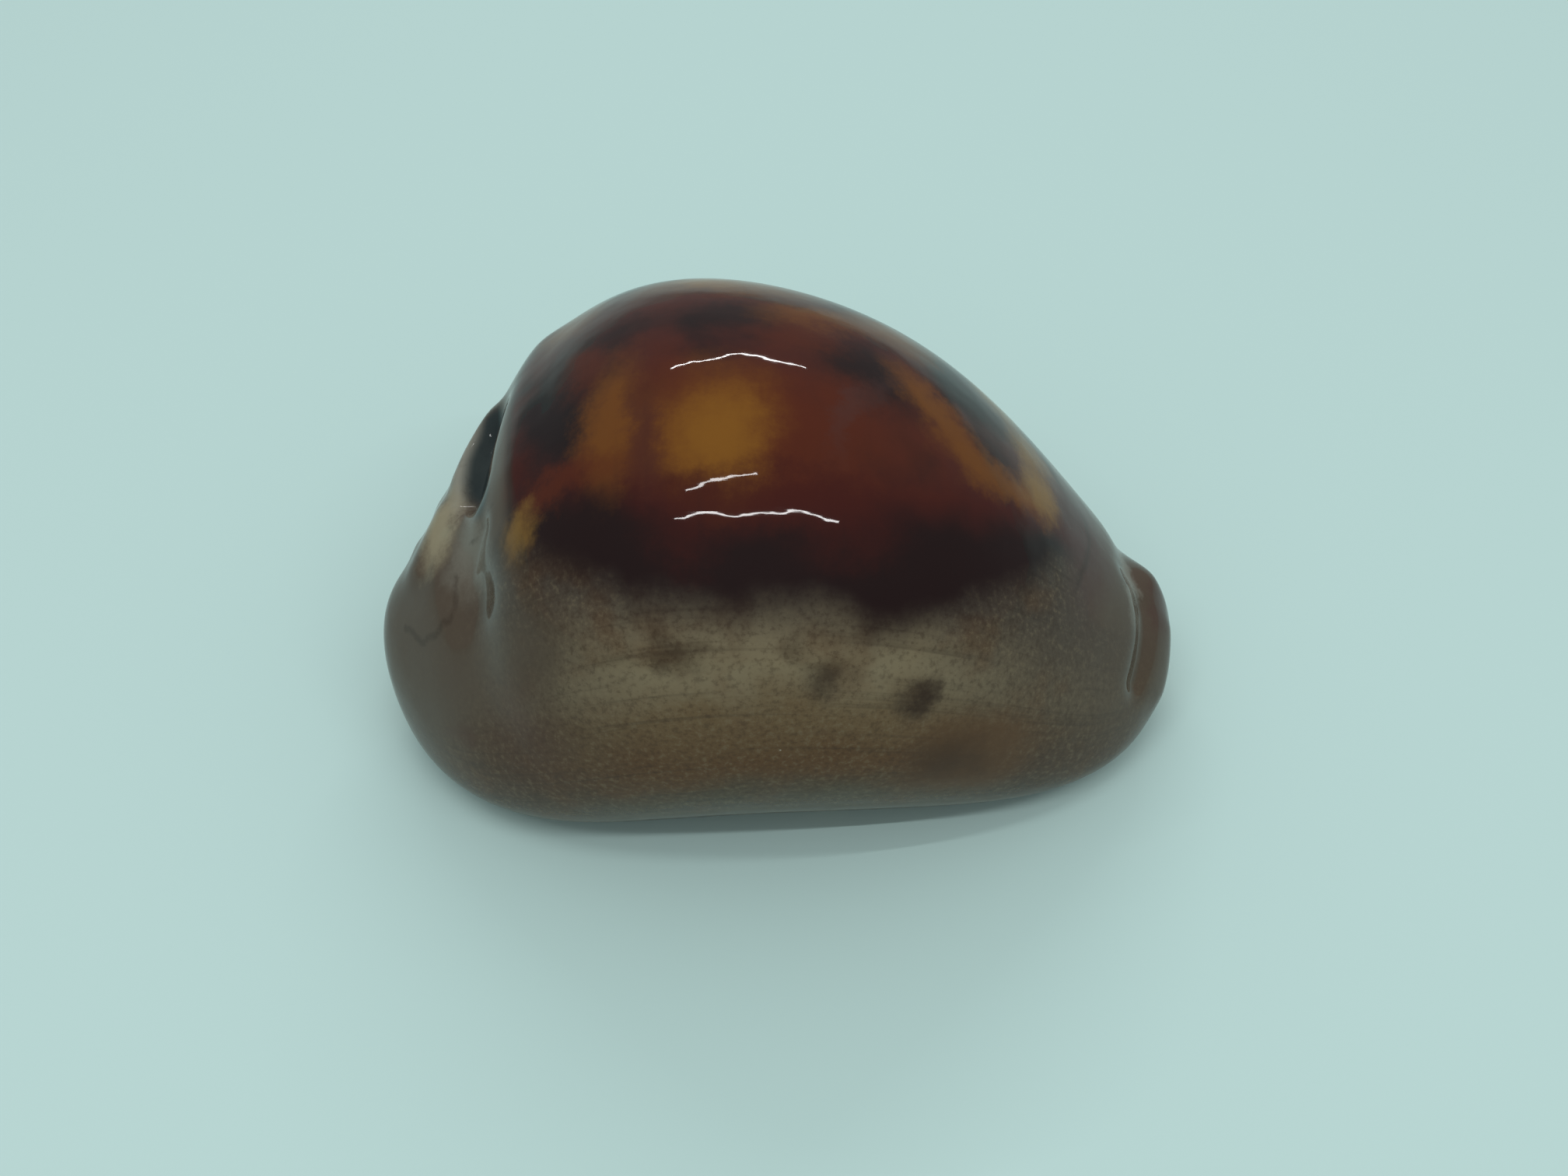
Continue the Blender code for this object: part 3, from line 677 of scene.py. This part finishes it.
    # teeth are cream, the gaps between them brown, the chamber behind darker
    lip = layColours(tree, enamel["toothCream"], (
        ("gapBrown", measure["toothGap"], 0.35, 0.9, 0.0, 0.8),
        ("gapBrown", measure["inAperture"], 0.4, 0.7, 0.0, 1.0),
    ))
    nearLip = addNode(tree, "ShaderNodeMapRange", smooth, Value=measure["fromLip"], From_Min=4.5,
                      From_Max=1.0)
    awayFromEnds = addNode(tree, "ShaderNodeMapRange", smooth, Value=fromMiddle, From_Min=34.0,
                           From_Max=27.0)
    onLip = addNode(tree, "ShaderNodeMath", {"operation": "MULTIPLY"}, i0=nearLip, i1=onBase)
    onLip = addNode(tree, "ShaderNodeMath", {"operation": "MULTIPLY"}, i0=onLip, i1=awayFromEnds)
    colour = addNode(tree, "ShaderNodeMix", {"data_type": "RGBA"}, i0=onLip, i6=colour, i7=lip)

    # a few tiny white specks
    cells = addNode(tree, "ShaderNodeTexVoronoi", Vector=place, Scale=enamel["speckScale"])
    chosen = addNode(tree, "ShaderNodeSeparateXYZ", Vector=cells.outputs["Color"])
    dots = addNode(tree, "ShaderNodeMath", {"operation": "MULTIPLY"}, i0=cells.outputs["Distance"], i1=3.0)
    dots = addNode(tree, "ShaderNodeMath", {"operation": "SUBTRACT"}, i0=dots, i1=chosen.outputs[0])
    colour = layColours(tree, colour, (("speck", dots, -0.9, -0.94, 0.0, 0.6),))

    tree.links.new(colour.outputs[2], surface.inputs["Base Color"])
    rough = addNode(tree, "ShaderNodeMapRange", smooth, Value=mottle, From_Min=0.3, From_Max=0.7,
                    To_Min=enamel["roughness"] - 0.04, To_Max=enamel["roughness"] + 0.06)
    tree.links.new(rough.outputs[0], surface.inputs["Roughness"])

    # slow unevenness that makes the highlights waver, and the relief of the fine lines
    undulation = addNode(tree, "ShaderNodeTexNoise", Vector=place, Scale=enamel["undulationScale"],
                         Detail=1.5)
    height = addNode(tree, "ShaderNodeMath", {"operation": "MULTIPLY_ADD"}, i0=growth, i1=0.06, i2=undulation)
    height = addNode(tree, "ShaderNodeMath", {"operation": "MULTIPLY_ADD"}, i0=striae, i1=0.03, i2=height)
    bump = addNode(tree, "ShaderNodeBump", Height=height, Strength=enamel["bumpStrength"],
                   Distance=enamel["bumpDepth"] * mm)
    tree.links.new(bump.outputs[0], surface.inputs["Normal"])
    tree.links.new(bump.outputs[0], surface.inputs["Coat Normal"])
    print("enamel:", len(tree.nodes), "nodes")
    return material


studio = {
    "floorSize": 6.0,
    "floorGap": 0.05,    # mm below the flat spot, so that the two never coincide
    "floorColour": "#cfeeeb",
    "surroundColour": "#fafffe",
    "horizon": 0.36,     # brightness of the surround at eye level and overhead
    "overhead": 0.50,
    "cameraPlace": (0.20, -128.28, 155.64),   # mm
    "cameraTilt": 42.0,                       # degrees from looking straight down
    "cameraLens": 46.25,
    # strip lights: two ends (m), width (m), watts
    "strips": (
        ((-0.22, 0.37, 0.45), (0.24, 0.48, 0.45), 0.006, 0.50),
        ((-0.24, -0.25, 0.45), (0.33, -0.20, 0.45), 0.006, 0.50),
        ((-0.18, -0.14, 0.46), (0.06, -0.10, 0.46), 0.007, 0.20),
    ),
}


def floorMaterial():
    # matt card: even and pale
    material = bpy.data.materials.new("mattCard")
    material.use_nodes = True
    surface = material.node_tree.nodes["Principled BSDF"]
    surface.inputs["Base Color"].default_value = linearColour(studio["floorColour"])
    surface.inputs["Roughness"].default_value = 0.9
    return material


def makeFloor():
    bm = bmesh.new()
    bmesh.ops.create_grid(bm, x_segments=1, y_segments=1, size=studio["floorSize"] / 2)
    mesh = bpy.data.meshes.new("floor")
    bm.to_mesh(mesh)
    bm.free()
    mesh.materials.append(floorMaterial())
    mesh.transform(Matrix.Translation((0, 0, -studio["floorGap"] * mm)))
    floor = bpy.data.objects.new("floor", mesh)
    bpy.context.scene.collection.objects.link(floor)


def makeWorld():
    world = bpy.data.worlds.new("softTent")
    bpy.context.scene.world = world
    world.use_nodes = True
    tree = world.node_tree
    direction = addNode(tree, "ShaderNodeTexCoord").outputs["Generated"]
    up = addNode(tree, "ShaderNodeSeparateXYZ", Vector=direction)
    strength = addNode(tree, "ShaderNodeMapRange", {"interpolation_type": "SMOOTHSTEP"}, Value=up.outputs[2],
                       From_Min=0.0, From_Max=0.8, To_Min=studio["horizon"], To_Max=studio["overhead"])
    background = tree.nodes["Background"]
    background.inputs["Color"].default_value = linearColour(studio["surroundColour"])
    tree.links.new(strength.outputs[0], background.inputs["Strength"])


def makeStrips():
    for number, (start, end, width, watts) in enumerate(studio["strips"]):
        start, end = np.array(start), np.array(end)
        light = bpy.data.lights.new("strip" + str(number), "AREA")
        light.shape = "RECTANGLE"
        light.size = float(np.linalg.norm(end - start))
        light.size_y = width
        light.energy = watts
        strip = bpy.data.objects.new(light.name, light)
        middle = (start + end) / 2
        alongStrip = (end - start) / np.linalg.norm(end - start)
        back = middle / np.linalg.norm(middle)
        across = np.cross(back, alongStrip)
        across /= np.linalg.norm(across)
        back = np.cross(alongStrip, across)
        columns = np.column_stack((alongStrip, across, back, middle))
        strip.matrix_world = Matrix([list(row) for row in columns] + [[0, 0, 0, 1]])
        bpy.context.scene.collection.objects.link(strip)


def makeCamera():
    data = bpy.data.cameras.new("camera")
    data.lens = studio["cameraLens"]
    data.sensor_width = 36.0
    camera = bpy.data.objects.new("camera", data)
    camera.location = [c * mm for c in studio["cameraPlace"]]
    camera.rotation_euler = (math.radians(studio["cameraTilt"]), 0, 0)
    bpy.context.scene.collection.objects.link(camera)
    bpy.context.scene.camera = camera


piece = makeShell()
piece.data.materials.append(enamelMaterial())
makeFloor()
makeWorld()
makeStrips()
makeCamera()
bpy.context.scene.view_settings.view_transform = "Standard"
print("setting: floor, surround, strips, camera")

bpy.context.view_layer.update()
